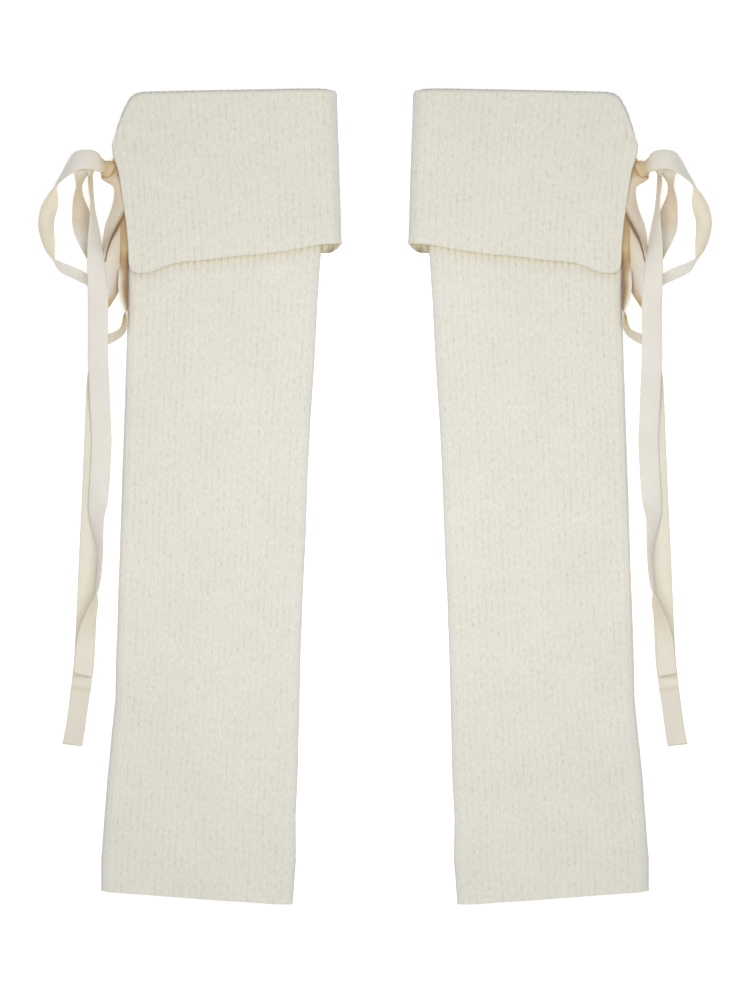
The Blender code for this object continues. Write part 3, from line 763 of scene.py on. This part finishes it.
class Board:
    """Adds nodes to a tree, with plain values or other nodes' sockets as their inputs."""

    def __init__(self, tree):
        self.tree = tree

    def add(self, kind, inputs=None, **settings):
        node = self.tree.nodes.new(kind)
        for key, value in settings.items():
            setattr(node, key, value)
        for key, value in (inputs or {}).items():
            if isinstance(value, bpy.types.NodeSocket):
                self.tree.links.new(value, node.inputs[key])
            else:
                node.inputs[key].default_value = value
        return node

    def math(self, operation, first, second=0.5, third=0.5):
        return self.add("ShaderNodeMath", {0: first, 1: second, 2: third}, operation=operation).outputs[0]

    def times(self, first, second):
        return self.math("MULTIPLY", first, second)

    def minus(self, first, second):
        return self.math("SUBTRACT", first, second)

    def line(self, value, slope, start):
        """A starting value with the value times a slope on top."""
        return self.math("MULTIPLY_ADD", value, slope, start)

    def size(self, operation, value):
        """The size of a sine or cosine, without its sign."""
        return self.math("ABSOLUTE", self.math(operation, value))

    def vector(self, operation, first, second):
        key = "Scale" if operation == "SCALE" else 1
        return self.add("ShaderNodeVectorMath", {0: first, key: second}, operation=operation).outputs[0]

    def noise(self, source, scale, detail, output="Fac", **settings):
        inputs = dict(source, Scale=scale, Detail=detail)
        return self.add("ShaderNodeTexNoise", inputs, **settings).outputs[output]

    def clamp(self, value):
        return self.add("ShaderNodeClamp", {0: value}).outputs[0]

    def blend(self, share, first, second):
        """Mixes two colours."""
        return self.add("ShaderNodeMix", {0: share, 6: first, 7: second}, data_type="RGBA").outputs[2]

    def vary(self, light, source, scale, detail, share):
        """Moves a light up and down by a noise."""
        return self.line(self.minus(self.noise(source, scale, detail), 0.5), share, light)


def stitch_tree():
    """Raises ribs and V-shaped stitches from a sheet that has the attributes wale, course and relief."""
    tree = bpy.data.node_groups.new("rib_stitches", "GeometryNodeTree")
    tree.interface.new_socket(name="Geometry", in_out="INPUT", socket_type="NodeSocketGeometry")
    for label in ("Rib height", "Stitch height", "Groove depth", "Unevenness", "Wander", "Seed"):
        tree.interface.new_socket(name=label, in_out="INPUT", socket_type="NodeSocketFloat")
    tree.interface.new_socket(name="Yarn", in_out="INPUT", socket_type="NodeSocketMaterial")
    tree.interface.new_socket(name="Geometry", in_out="OUTPUT", socket_type="NodeSocketGeometry")
    board = Board(tree)
    given = board.add("NodeGroupInput").outputs
    seed = {"W": given["Seed"]}

    def attribute(name):
        return board.add("GeometryNodeInputNamedAttribute", {"Name": name}, data_type="FLOAT").outputs[0]

    wale = board.times(attribute("wale"), math.pi)
    rib = board.math("POWER", board.size("SINE", wale), RIB_ROUNDNESS)
    middle = board.math("POWER", board.minus(1.0, board.size("COSINE", wale)), 4.0)
    wave = board.math("COSINE", board.times(attribute("course"), 2 * math.pi))
    stitch = board.times(board.times(board.minus(wave, 1.0), 0.5), rib)
    stitch = board.times(stitch, attribute("front"))
    sunk = board.times(board.minus(rib, 1.0), given["Rib height"])
    sunk = board.line(stitch, given["Stitch height"], sunk)
    groove = board.times(middle, board.times(given["Groove depth"], -1.0))
    sunk = board.math("ADD", sunk, board.times(groove, attribute("front")))
    noise = board.noise(seed, *UNEVEN_WAVES, noise_dimensions="4D")
    uneven = board.times(board.minus(noise, 0.72), given["Unevenness"])
    sunk = board.times(board.math("ADD", sunk, uneven), attribute("relief"))
    drift = board.noise(seed, *WANDER_WAVES, "Color", noise_dimensions="4D")
    drift = board.vector("SUBTRACT", drift, (0.5, 0.5, 0.5))
    drift = board.vector("MULTIPLY", drift, WANDER_WAYS)
    drift = board.vector("SCALE", drift, board.times(given["Wander"], attribute("relief")))
    normal = board.add("GeometryNodeInputNormal").outputs[0]
    offset = board.vector("ADD", board.vector("SCALE", normal, sunk), drift)
    moved = board.add("GeometryNodeSetPosition", {"Geometry": given["Geometry"], "Offset": offset})
    real = board.add("GeometryNodeRealizeInstances", {0: moved.outputs[0]})
    painted = board.add("GeometryNodeSetMaterial", {"Geometry": real.outputs[0], "Material": given["Yarn"]})
    board.add("NodeGroupOutput", {0: painted.outputs[0]})
    return tree


def raise_stitches(item, tree, values):
    """Runs the stitch tree on a sheet and keeps the result as its plain mesh."""
    modifier = item.modifiers.new("stitches", "NODES")
    modifier.node_group = tree
    for socket in tree.interface.items_tree:
        if socket.in_out == "INPUT" and socket.name in values:
            modifier[socket.identifier] = values[socket.name]
    shown = item.evaluated_get(bpy.context.evaluated_depsgraph_get())
    made = bpy.data.meshes.new_from_object(shown)
    item.modifiers.remove(modifier)
    old = item.data
    item.data = made
    bpy.data.meshes.remove(old)
    made.name = item.name


# Finishes

def new_material(name, settings):
    """A material, a board for its tree, and its shader with the given plain values."""
    made = bpy.data.materials.new(name)
    made.use_nodes = True
    shader = made.node_tree.nodes["Principled BSDF"]
    for label, value in settings.items():
        shader.inputs[label].default_value = value
    return made, Board(made.node_tree), shader


def finish_surface(board, shader, colour, light, height, strength, depth):
    """Links a colour, lightened or darkened, and a fine bump to the shader."""
    lit = board.vector("SCALE", colour, light)
    bump = board.add("ShaderNodeBump", {"Strength": strength, "Distance": depth, "Height": height})
    board.tree.links.new(lit, shader.inputs["Base Color"])
    board.tree.links.new(bump.outputs[0], shader.inputs["Normal"])


def knit_finish(name, crest):
    """Matte combed yarn: V stitches, twisted plies and fine fuzz, with painted shade in the rib valleys and
    the gaps between stitches, painted golden shade by the cuff's hem and inside its turned-in end, and
    painted grey shade on side folds.

    The attributes wale and course run with the stitches, so the pattern follows the relief.
    """
    made, board, shader = new_material(name, {"Roughness": 0.95, "Sheen Weight": 0.1,
                                              "Sheen Roughness": 0.6, "Specular IOR Level": 0.15})

    def attribute(label):
        return board.add("ShaderNodeAttribute", attribute_name=label).outputs["Fac"]

    def gap(value, width):
        """1 where the value is near 0, falling to 0 at the width."""
        return board.add("ShaderNodeMapRange", {0: value, 1: 0.0, 2: width, 3: 1.0, 4: 0.0},
                         interpolation_type="SMOOTHSTEP").outputs[0]

    wale = board.times(attribute("wale"), math.pi)
    course = attribute("course")
    inside = attribute("inside")
    from_valley = board.size("SINE", wale)
    middle = gap(board.size("COSINE", wale), GROOVE_WIDTH)
    between_stitches = gap(board.size("COSINE", board.times(course, math.pi)), STITCH_GAP)
    dots = board.line(between_stitches, 0.5, 0.5)
    seams = board.times(gap(from_valley, VALLEY_WIDTH), dots)
    seams = board.math("MAXIMUM", seams, board.times(between_stitches, FAINT))
    seams = board.math("MAXIMUM", seams, board.times(board.times(middle, dots), FAINT))
    # On the plain inside, an even half share of the painted seam shade
    seams = board.line(seams, board.minus(1.0, inside), board.times(inside, 0.5))

    place = {"Vector": board.add("ShaderNodeTexCoord").outputs["Object"]}
    valley_number = board.math("FLOOR", board.math("ADD", attribute("wale"), 0.5))
    dash = board.line(valley_number, DASH_STAGGER, board.math("DIVIDE", course, DASH_COURSES))
    cell = board.add("ShaderNodeCombineXYZ", {0: valley_number, 1: board.math("FLOOR", dash)}).outputs[0]
    each = board.add("ShaderNodeTexWhiteNoise", {"Vector": cell}, noise_dimensions="3D").outputs["Value"]
    ends = board.size("SINE", board.times(dash, math.pi))
    wide = gap(from_valley, DASH_WIDTH)
    dashes = board.times(wide, board.times(ends, board.math("POWER", each, 2.0)))
    patches = board.line(board.noise(place, *KNIT_PATCHES), 4.0, -1.4)
    patches = board.math("MAXIMUM", patches, 0.15)
    painted_shade = attribute("painted_shade")
    # Painted shade: darker in rib valleys, stitch gaps and middle grooves, in patches and random dashes, and
    # stronger where painted golden shade lies
    shade = board.times(seams, board.times(patches, SEAM_SHADE))
    shade = board.line(dashes, DASH_SHADE, shade)
    shade = board.times(shade, board.math("ADD", painted_shade, 1.0))
    colour = board.blend(board.clamp(shade), crest, KNIT_VALLEY_PAINTED_SHADE)
    # Painted golden shade, strongest in the valleys
    colour = board.blend(board.times(painted_shade, board.line(wide, 0.45, 0.35)), colour, WARM_SHADE)
    # Painted grey shade where the cloth leans to a side
    colour = board.blend(board.times(attribute("steep"), SIDE_PAINTED_SHADE_SHARE), colour, SIDE_PAINTED_SHADE)
    along = board.add("ShaderNodeCombineXYZ", {0: board.times(attribute("wale"), 3.0),
                                               1: board.times(course, 0.75)}).outputs[0]
    light = board.vary(1.0, place, *KNIT_CLOUDS)
    light = board.vary(light, place, *KNIT_FLECKS)
    light = board.vary(light, {"Vector": along}, *KNIT_STREAKS)
    plies = board.math("SINE", board.line(course, 4 * 2 * math.pi, board.times(wale, 10.0)))
    height = board.line(plies, 0.12, board.noise(place, *KNIT_FUZZ))
    height = board.line(seams, -0.9, height)
    finish_surface(board, shader, colour, light, height, 0.6, 0.0002)
    return made


def tape_finish(name):
    """Woven cotton tape: a fine weave, its inner face painted a little warmer as light among the layers, and
    painted golden and deep shade in its folds.
    """
    made, board, shader = new_material(name, {"Roughness": 0.85, "Sheen Weight": 0.05,
                                              "Specular IOR Level": 0.25})
    inner = board.add("ShaderNodeAttribute", attribute_name="inner").outputs["Fac"]
    painted_shade = board.add("ShaderNodeAttribute", attribute_name="painted_shade").outputs["Fac"]
    along = board.add("ShaderNodeUVMap", uv_map="UVMap").outputs[0]
    parts = board.add("ShaderNodeSeparateXYZ", {0: along})
    warp = board.math("SINE", board.times(parts.outputs[0], 2 * math.pi * WARP_THREADS))
    weft = board.math("SINE", board.times(parts.outputs[1], 2 * math.pi * WEFT_THREADS))
    weave = board.times(warp, weft)
    place = {"Vector": board.add("ShaderNodeTexCoord").outputs["Object"]}
    # The faces' two colours are painted light among the layers
    colour = board.blend(inner, TAPE_OUTER, TAPE_INNER_PAINTED_WARMER)
    # Painted golden shade, turning to painted deep shade above 1
    colour = board.blend(board.clamp(painted_shade), colour, TAPE_PAINTED_GOLDEN_SHADE)
    colour = board.blend(board.clamp(board.minus(painted_shade, 1.0)), colour, TAPE_PAINTED_DEEP_SHADE)
    light = board.vary(1.0, place, *TAPE_CLOUDS)
    light = board.line(weave, TAPE_WEAVE, board.vary(light, place, *TAPE_FLECKS))
    finish_surface(board, shader, colour, light, weave, 0.4, 0.0001)
    return made


# Ribbons

def smooth_route(route, step):
    """A smooth curve through the rows of a route, with all its columns, sampled about every step."""
    route = [row if len(row) == 5 else row + (TAPE_WIDTH,) for row in route]
    samples = []
    last = len(route) - 1
    for k in range(last):
        before = route[max(k - 1, 0)]
        here = route[k]
        after = route[k + 1]
        beyond = route[min(k + 2, last)]
        pieces = max(1, round(math.dist(here[:3], after[:3]) / step))
        for piece in range(pieces):
            t = piece / pieces
            row = []
            for a, b, c, d in zip(before, here, after, beyond):
                row.append(0.5 * (2 * b + (c - a) * t + (2 * a - 5 * b + 4 * c - d) * t * t
                                  + (3 * b - a - 3 * c + d) * t ** 3))
            samples.append(row)
    samples.append(list(route[last]))
    return np.array(samples)


def tape_sections(centres, across, face, width, curl):
    """Cross-sections of a tape: points over its outer face, then back over its inner one.

    A section is an arc of the given angle, so a curled tape shows both its faces from the side.
    """
    share = np.sin(np.linspace(-0.5, 0.5, TAPE_POINTS) * math.pi) * 0.5
    rounding = np.sqrt(np.clip(1.0 - (np.abs(share) * 2) ** 8, 0.0, 1.0)) * 0.75 + 0.25
    safe = np.where(np.abs(curl) < 0.01, 0.01, curl)[:, None]
    sections = []
    for way in (1, -1):
        angle = safe * share * way
        sag = width[:, None] * (1.0 - np.cos(angle)) / safe
        sag = sag - sag.mean(axis=1, keepdims=True)
        thick = way * TAPE / 2 * rounding
        run = width[:, None] * np.sin(angle) / safe + thick * np.sin(angle)
        rise = thick * np.cos(angle) - sag
        sections.append(centres[:, None, :] + across[:, None, :] * run[:, :, None]
                        + face[:, None, :] * rise[:, :, None])
    return np.concatenate(sections, axis=1)


def tape_frame(samples):
    """The centres of a route's samples, and the directions across and out of the tape there."""
    centres = samples[:, :3] * (-1, 1, 1)
    turn = np.radians(samples[:, 3])
    ahead = np.empty_like(centres)
    ahead[1:-1] = centres[2:] - centres[:-2]
    ahead[0] = centres[1] - centres[0]
    ahead[-1] = centres[-1] - centres[-2]
    ahead = unit(ahead)
    flat = unit(np.cross(ahead, (0.0, 0.0, 1.0)))
    up = np.cross(flat, ahead)
    cos = np.cos(turn)[:, None]
    sin = np.sin(turn)[:, None]
    return centres, flat * cos + up * sin, up * cos - flat * sin


def tape_object(name, side, centres, across, face, width, curl, painted_shade, closed=False, slant=0.0):
    """Sweeps a tape's section along its route and gives it its map and attributes."""
    sections = tape_sections(centres, across, face, width, curl)
    if slant:
        sections[-1] += unit(centres[-1] - centres[-2]) * (TAPE_SHARES - 0.5)[:, None] * slant
    if closed:
        sections = sections[:-1]
    count, around = sections.shape[:2]
    last = (count - 1) * around
    faces = grid_faces(count, around, True, 0)
    if closed:
        faces += [(last + j, last + (j + 1) % around, (j + 1) % around, j) for j in range(around)]
    else:
        faces += [tuple(range(around))[::-1], tuple(range(last, last + around))]
    item = make_object(name, sections.reshape(-1, 3), faces, side > 0)
    steps = np.linalg.norm(np.diff(centres, axis=0), axis=1)
    along = np.concatenate(((0.0,), np.cumsum(steps)))[:count]
    store(item, "inner", np.tile(np.repeat((0.0, 1.0), TAPE_POINTS), count))
    # Each point's painted golden shade, turning to painted deep shade above 1
    store(item, "painted_shade", np.broadcast_to(painted_shade, (len(centres), around))[:count])
    store_map(item, (TAPE_SHARES * width[:count, None]).ravel(), np.repeat(along, around))
    return item, along


def painted_shade_strip(name, side, samples, strip):
    """A narrow strip along a tape's edge that carries painted shade: shadow lines beside edges and a golden
    line along a lit rim.
    """
    first, last, beyond, drop, width, painted_shade = strip
    centres, across, face = tape_frame(samples)
    start = round(first * (len(samples) - 1))
    stop = round(last * (len(samples) - 1)) + 1
    part = slice(start, stop)
    ends = np.sin(np.linspace(0.0, math.pi, stop - start)) ** 0.4
    line = centres[part] + across[part] * (samples[part, 4] / 2 + beyond)[:, None] - face[part] * drop
    item, _ = tape_object(name, side, line, across[part], face[part], width * ends + 0.1,
                          np.full(stop - start, STRIP_CURL), painted_shade)
    return item


def joined(name, pieces, finish):
    """One object out of several mesh objects that share one finish."""
    for piece in pieces:
        piece.data.materials.append(finish)
    with bpy.context.temp_override(active_object=pieces[0], selected_editable_objects=pieces,
                                   selected_objects=pieces, object=pieces[0]):
        bpy.ops.object.join()
    pieces[0].name = name
    pieces[0].data.name = name
    return pieces[0]


def ribbon(name, node, side, route, painted_shading, curls, strips, slant, finish):
    """One free stretch of the ribbon."""
    samples = smooth_route(route, TAPE_STEP)
    centres, across, face = tape_frame(samples)
    share = np.linspace(0.0, 1.0, len(samples))[:, None]
    # Painted golden shade from edge to edge, read along the stretch
    painted_shade = mix(look_up(painted_shading, share, 1), look_up(painted_shading, share, 2), TAPE_SHARES)
    curl = np.radians(look_up(curls, share[:, 0]))
    item, along = tape_object(name, side, centres, across, face, samples[:, 4], curl, painted_shade, False, slant)
    pieces = [item] + [painted_shade_strip(name + "_edge", side, samples, strip) for strip in strips]
    item = joined(name, pieces, finish)
    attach(item, "root")
    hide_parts(node)


def knot_core(name, side):
    """A soft wrinkled lump of tape under the knot's wraps, painted all over with golden shade."""
    rows, columns = KNOT_GRID
    tilt = np.linspace(0.0, math.pi, rows + 1)[:, None]
    turn = np.linspace(0.0, 2 * math.pi, columns, endpoint=False)
    wrinkle = 1.0 + 0.06 * np.sin(5 * turn + 3 * np.cos(tilt)) * np.sin(tilt)
    points = np.stack((np.sin(tilt) * np.cos(turn) * KNOT_RADII[0] * wrinkle,
                       np.cos(tilt) * KNOT_RADII[1] + 0.0 * turn,
                       np.sin(tilt) * np.sin(turn) * KNOT_RADII[2] * wrinkle), axis=-1)
    points = points.reshape(-1, 3) + np.multiply(KNOT_CENTRE, (-1, 1, 1))
    faces = [face[::-1] for face in grid_faces(rows + 1, columns, True, 0)]
    item = make_object(name, points, faces, side > 0)
    store(item, "inner", np.zeros(len(points)))
    store(item, "painted_shade", np.full(len(points), CORE_PAINTED_SHADE))
    store_map(item, points[:, 0], points[:, 1])
    return item


def knot_band(name, side):
    """The band of tape wound once round the knot, leaning, with its gathers, and painted shade that varies
    round it and is stronger at its edges and in the gathers.
    """
    turn = np.linspace(0.0, 2 * math.pi, BAND_STEPS + 1)
    lean = math.radians(BAND_LEAN)
    along = np.array((math.sin(lean), math.cos(lean), 0.0))
    over = np.array((0.0, 0.0, 1.0))
    across = np.array((math.cos(lean), -math.sin(lean), 0.0))
    centres = (np.multiply(BAND_CENTRE, (-1, 1, 1)) + np.outer(np.cos(turn) * BAND_RADII[0], along)
               + np.outer(np.sin(turn) * BAND_RADII[1], over))
    face = unit(np.outer(np.cos(turn) / BAND_RADII[0], along) + np.outer(np.sin(turn) / BAND_RADII[1], over))
    width = BAND_WIDTH * (1.0 + 0.08 * np.sin(2 * turn + 0.6))
    curl = np.full(len(turn), math.radians(BAND_CURL))
    edges = np.abs(TAPE_SHARES * 2 - 1.0) ** 4
    gathers = np.sin(TAPE_SHARES * 14.0 + 0.9 * np.sin(turn)[:, None])
    painted_shade = (BAND_PAINTED_SHADE + 0.15 * np.sin(turn))[:, None] + 0.6 * edges + 0.09 * gathers
    across = np.broadcast_to(across, centres.shape)
    return tape_object(name, side, centres, across, face, width, curl, painted_shade, True)[0]


def knot(name, node, side, finish):
    """The bow's knot: a lump of tape, a band round it, a short end behind the cuff painted in golden shade,
    and a narrow strip painted as deep shade where a crease's shadow falls.
    """
    pieces = [knot_core(name + "_core", side), knot_band(name + "_band", side)]
    for label, route, painted_shading in (("_end", KNOT_END, END_PAINTED_SHADE), ("_crease", KNOT_CREASE_SHADOW, CREASE_PAINTED_SHADE)):
        samples = smooth_route(route, TAPE_STEP / 2)
        centres, across, face = tape_frame(samples)
        piece, _ = tape_object(name + label, side, centres, across, face, samples[:, 4],
                               np.full(len(samples), END_CURL), painted_shading)
        pieces.append(piece)
    item = joined(name, pieces, finish)
    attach(item, "root")
    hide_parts(node)


def ribbons(word, side, finish):
    """The knot and the four free stretches of one bow."""
    knot(word + "_knot_wraps", word + "_knot", side, finish)
    stretches = (("_outer_loop", OUTER_LOOP, OUTER_PAINTED_SHADE, OUTER_CURL, OUTER_EDGES, 0.0, "knot"),
                 ("_inner_loop", INNER_LOOP, INNER_PAINTED_SHADE, INNER_CURL, INNER_EDGES, 0.0, "knot"),
                 ("_short_tail", SHORT_TAIL, SHORT_PAINTED_SHADE, SHORT_CURL, SHORT_EDGES, SHORT_SLANT, "bare"),
                 ("_long_tail", LONG_TAIL, LONG_PAINTED_SHADE, LONG_CURL, (), LONG_SLANT, "bare"))
    for part, route, painted_shading, curls, strips, slant, far_end in stretches:
        ribbon(word + part + "_tape", word + part, side, route, painted_shading, curls, strips, slant, finish)


# The scene

def cloth(word, side, tree, leg_yarn, cuff_yarn):
    """The leg tube and the cuff of one leg warmer."""
    relief = {"Rib height": RIB_RELIEF * MM, "Stitch height": STITCH_RELIEF * MM,
              "Groove depth": GROOVE_RELIEF * MM, "Unevenness": UNEVEN * MM,
              "Wander": WANDER * MM, "Seed": 2.0 + side}
    reach = LEG_FOLD / LEG_WIDTH
    inner_reach = (LEG_FOLD - WALL) / (LEG_WIDTH - 2 * WALL)
    outer_ring = stations(LEG_RIBS, LEG_FOLD_RIBS, reach, True, FRONT_COLUMNS, BACK_COLUMNS)
    inner_ring = stations(INNER_COLUMNS, 2, inner_reach, True, 1, 1)
    rows = course_rows(LEG_SHOWING, LEG_COURSES)
    leg = knit_sheet(word + "_leg_knit", side, leg_point, outer_ring, inner_ring, rows,
                     LEG_COURSES, CHEVRON, True)
    raise_stitches(leg, tree, dict(relief, Yarn=leg_yarn))
    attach(leg, "root")
    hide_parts(word + "_leg_tube")

    outer_ring = stations(CUFF_RIBS, CUFF_FOLD_RIBS, CUFF_FOLD, False, FRONT_COLUMNS, BACK_COLUMNS)
    inner_ring = stations(INNER_COLUMNS, 3, CUFF_FOLD_PLAIN, False, 1, 1)
    end = CUFF_COURSES + LIP_COURSES + TURNED_COURSES
    rows = course_rows(CUFF_COURSES + LIP_COURSES, end)
    cuff = knit_sheet(word + "_cuff_knit", side, cuff_point, outer_ring, inner_ring, rows,
                      end, -CHEVRON, False)
    raise_stitches(cuff, tree, dict(relief, Yarn=cuff_yarn))
    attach(cuff, "root")
    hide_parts(word + "_cuff")


def camera():
    data = bpy.data.cameras.new("long_lens")
    data.sensor_width = CAMERA_SENSOR
    data.lens = CAMERA_SENSOR * CAMERA_HEIGHT / VIEW_HEIGHT
    data.clip_end = CAMERA_REACH
    item = bpy.data.objects.new("camera", data)
    item.location = (VIEW_CENTRE[0], VIEW_CENTRE[1], CAMERA_HEIGHT)
    bpy.context.scene.collection.objects.link(item)
    bpy.context.scene.camera = item


def studio():
    """Light from all round, a broad soft panel above, and the pale floor."""
    scene = bpy.context.scene
    scene.view_settings.view_transform = "Standard"
    world = bpy.data.worlds.new("soft_room")
    world.use_nodes = True
    sky = world.node_tree.nodes["Background"]
    sky.inputs["Color"].default_value = SKY_COLOUR
    sky.inputs["Strength"].default_value = SKY_STRENGTH
    scene.world = world
    light = bpy.data.lights.new("overhead_panel", "AREA")
    light.shape = "SQUARE"
    light.size = PANEL_SIZE
    light.energy = PANEL_POWER
    item = bpy.data.objects.new("overhead_panel", light)
    item.location = PANEL_PLACE
    scene.collection.objects.link(item)
    made, _, _ = new_material("pale_floor", {"Base Color": FLOOR_COLOUR, "Roughness": 1.0,
                                             "Specular IOR Level": 0.0, "Emission Color": WHITE,
                                             "Emission Strength": FLOOR_GLOW})
    half = FLOOR_SIZE / 2
    data = bpy.data.meshes.new("floor")
    corners = ((-half, -half), (half, -half), (half, half), (-half, half))
    data.from_pydata([(x, y, -FLOOR_DROP) for x, y in corners], [], [(0, 1, 2, 3)])
    data.materials.append(made)
    floor = bpy.data.objects.new("floor", data)
    scene.collection.objects.link(floor)


def main():
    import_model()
    camera()
    studio()
    tape = tape_finish("cotton_tape")
    for word, side in SIDES.items():
        ribbons(word, side, tape)
    leg_yarn = knit_finish("leg_yarn", KNIT_CREST)
    cuff_yarn = knit_finish("cuff_yarn", CUFF_CREST)
    tree = stitch_tree()
    for word, side in SIDES.items():
        cloth(word, side, tree, leg_yarn, cuff_yarn)


main()
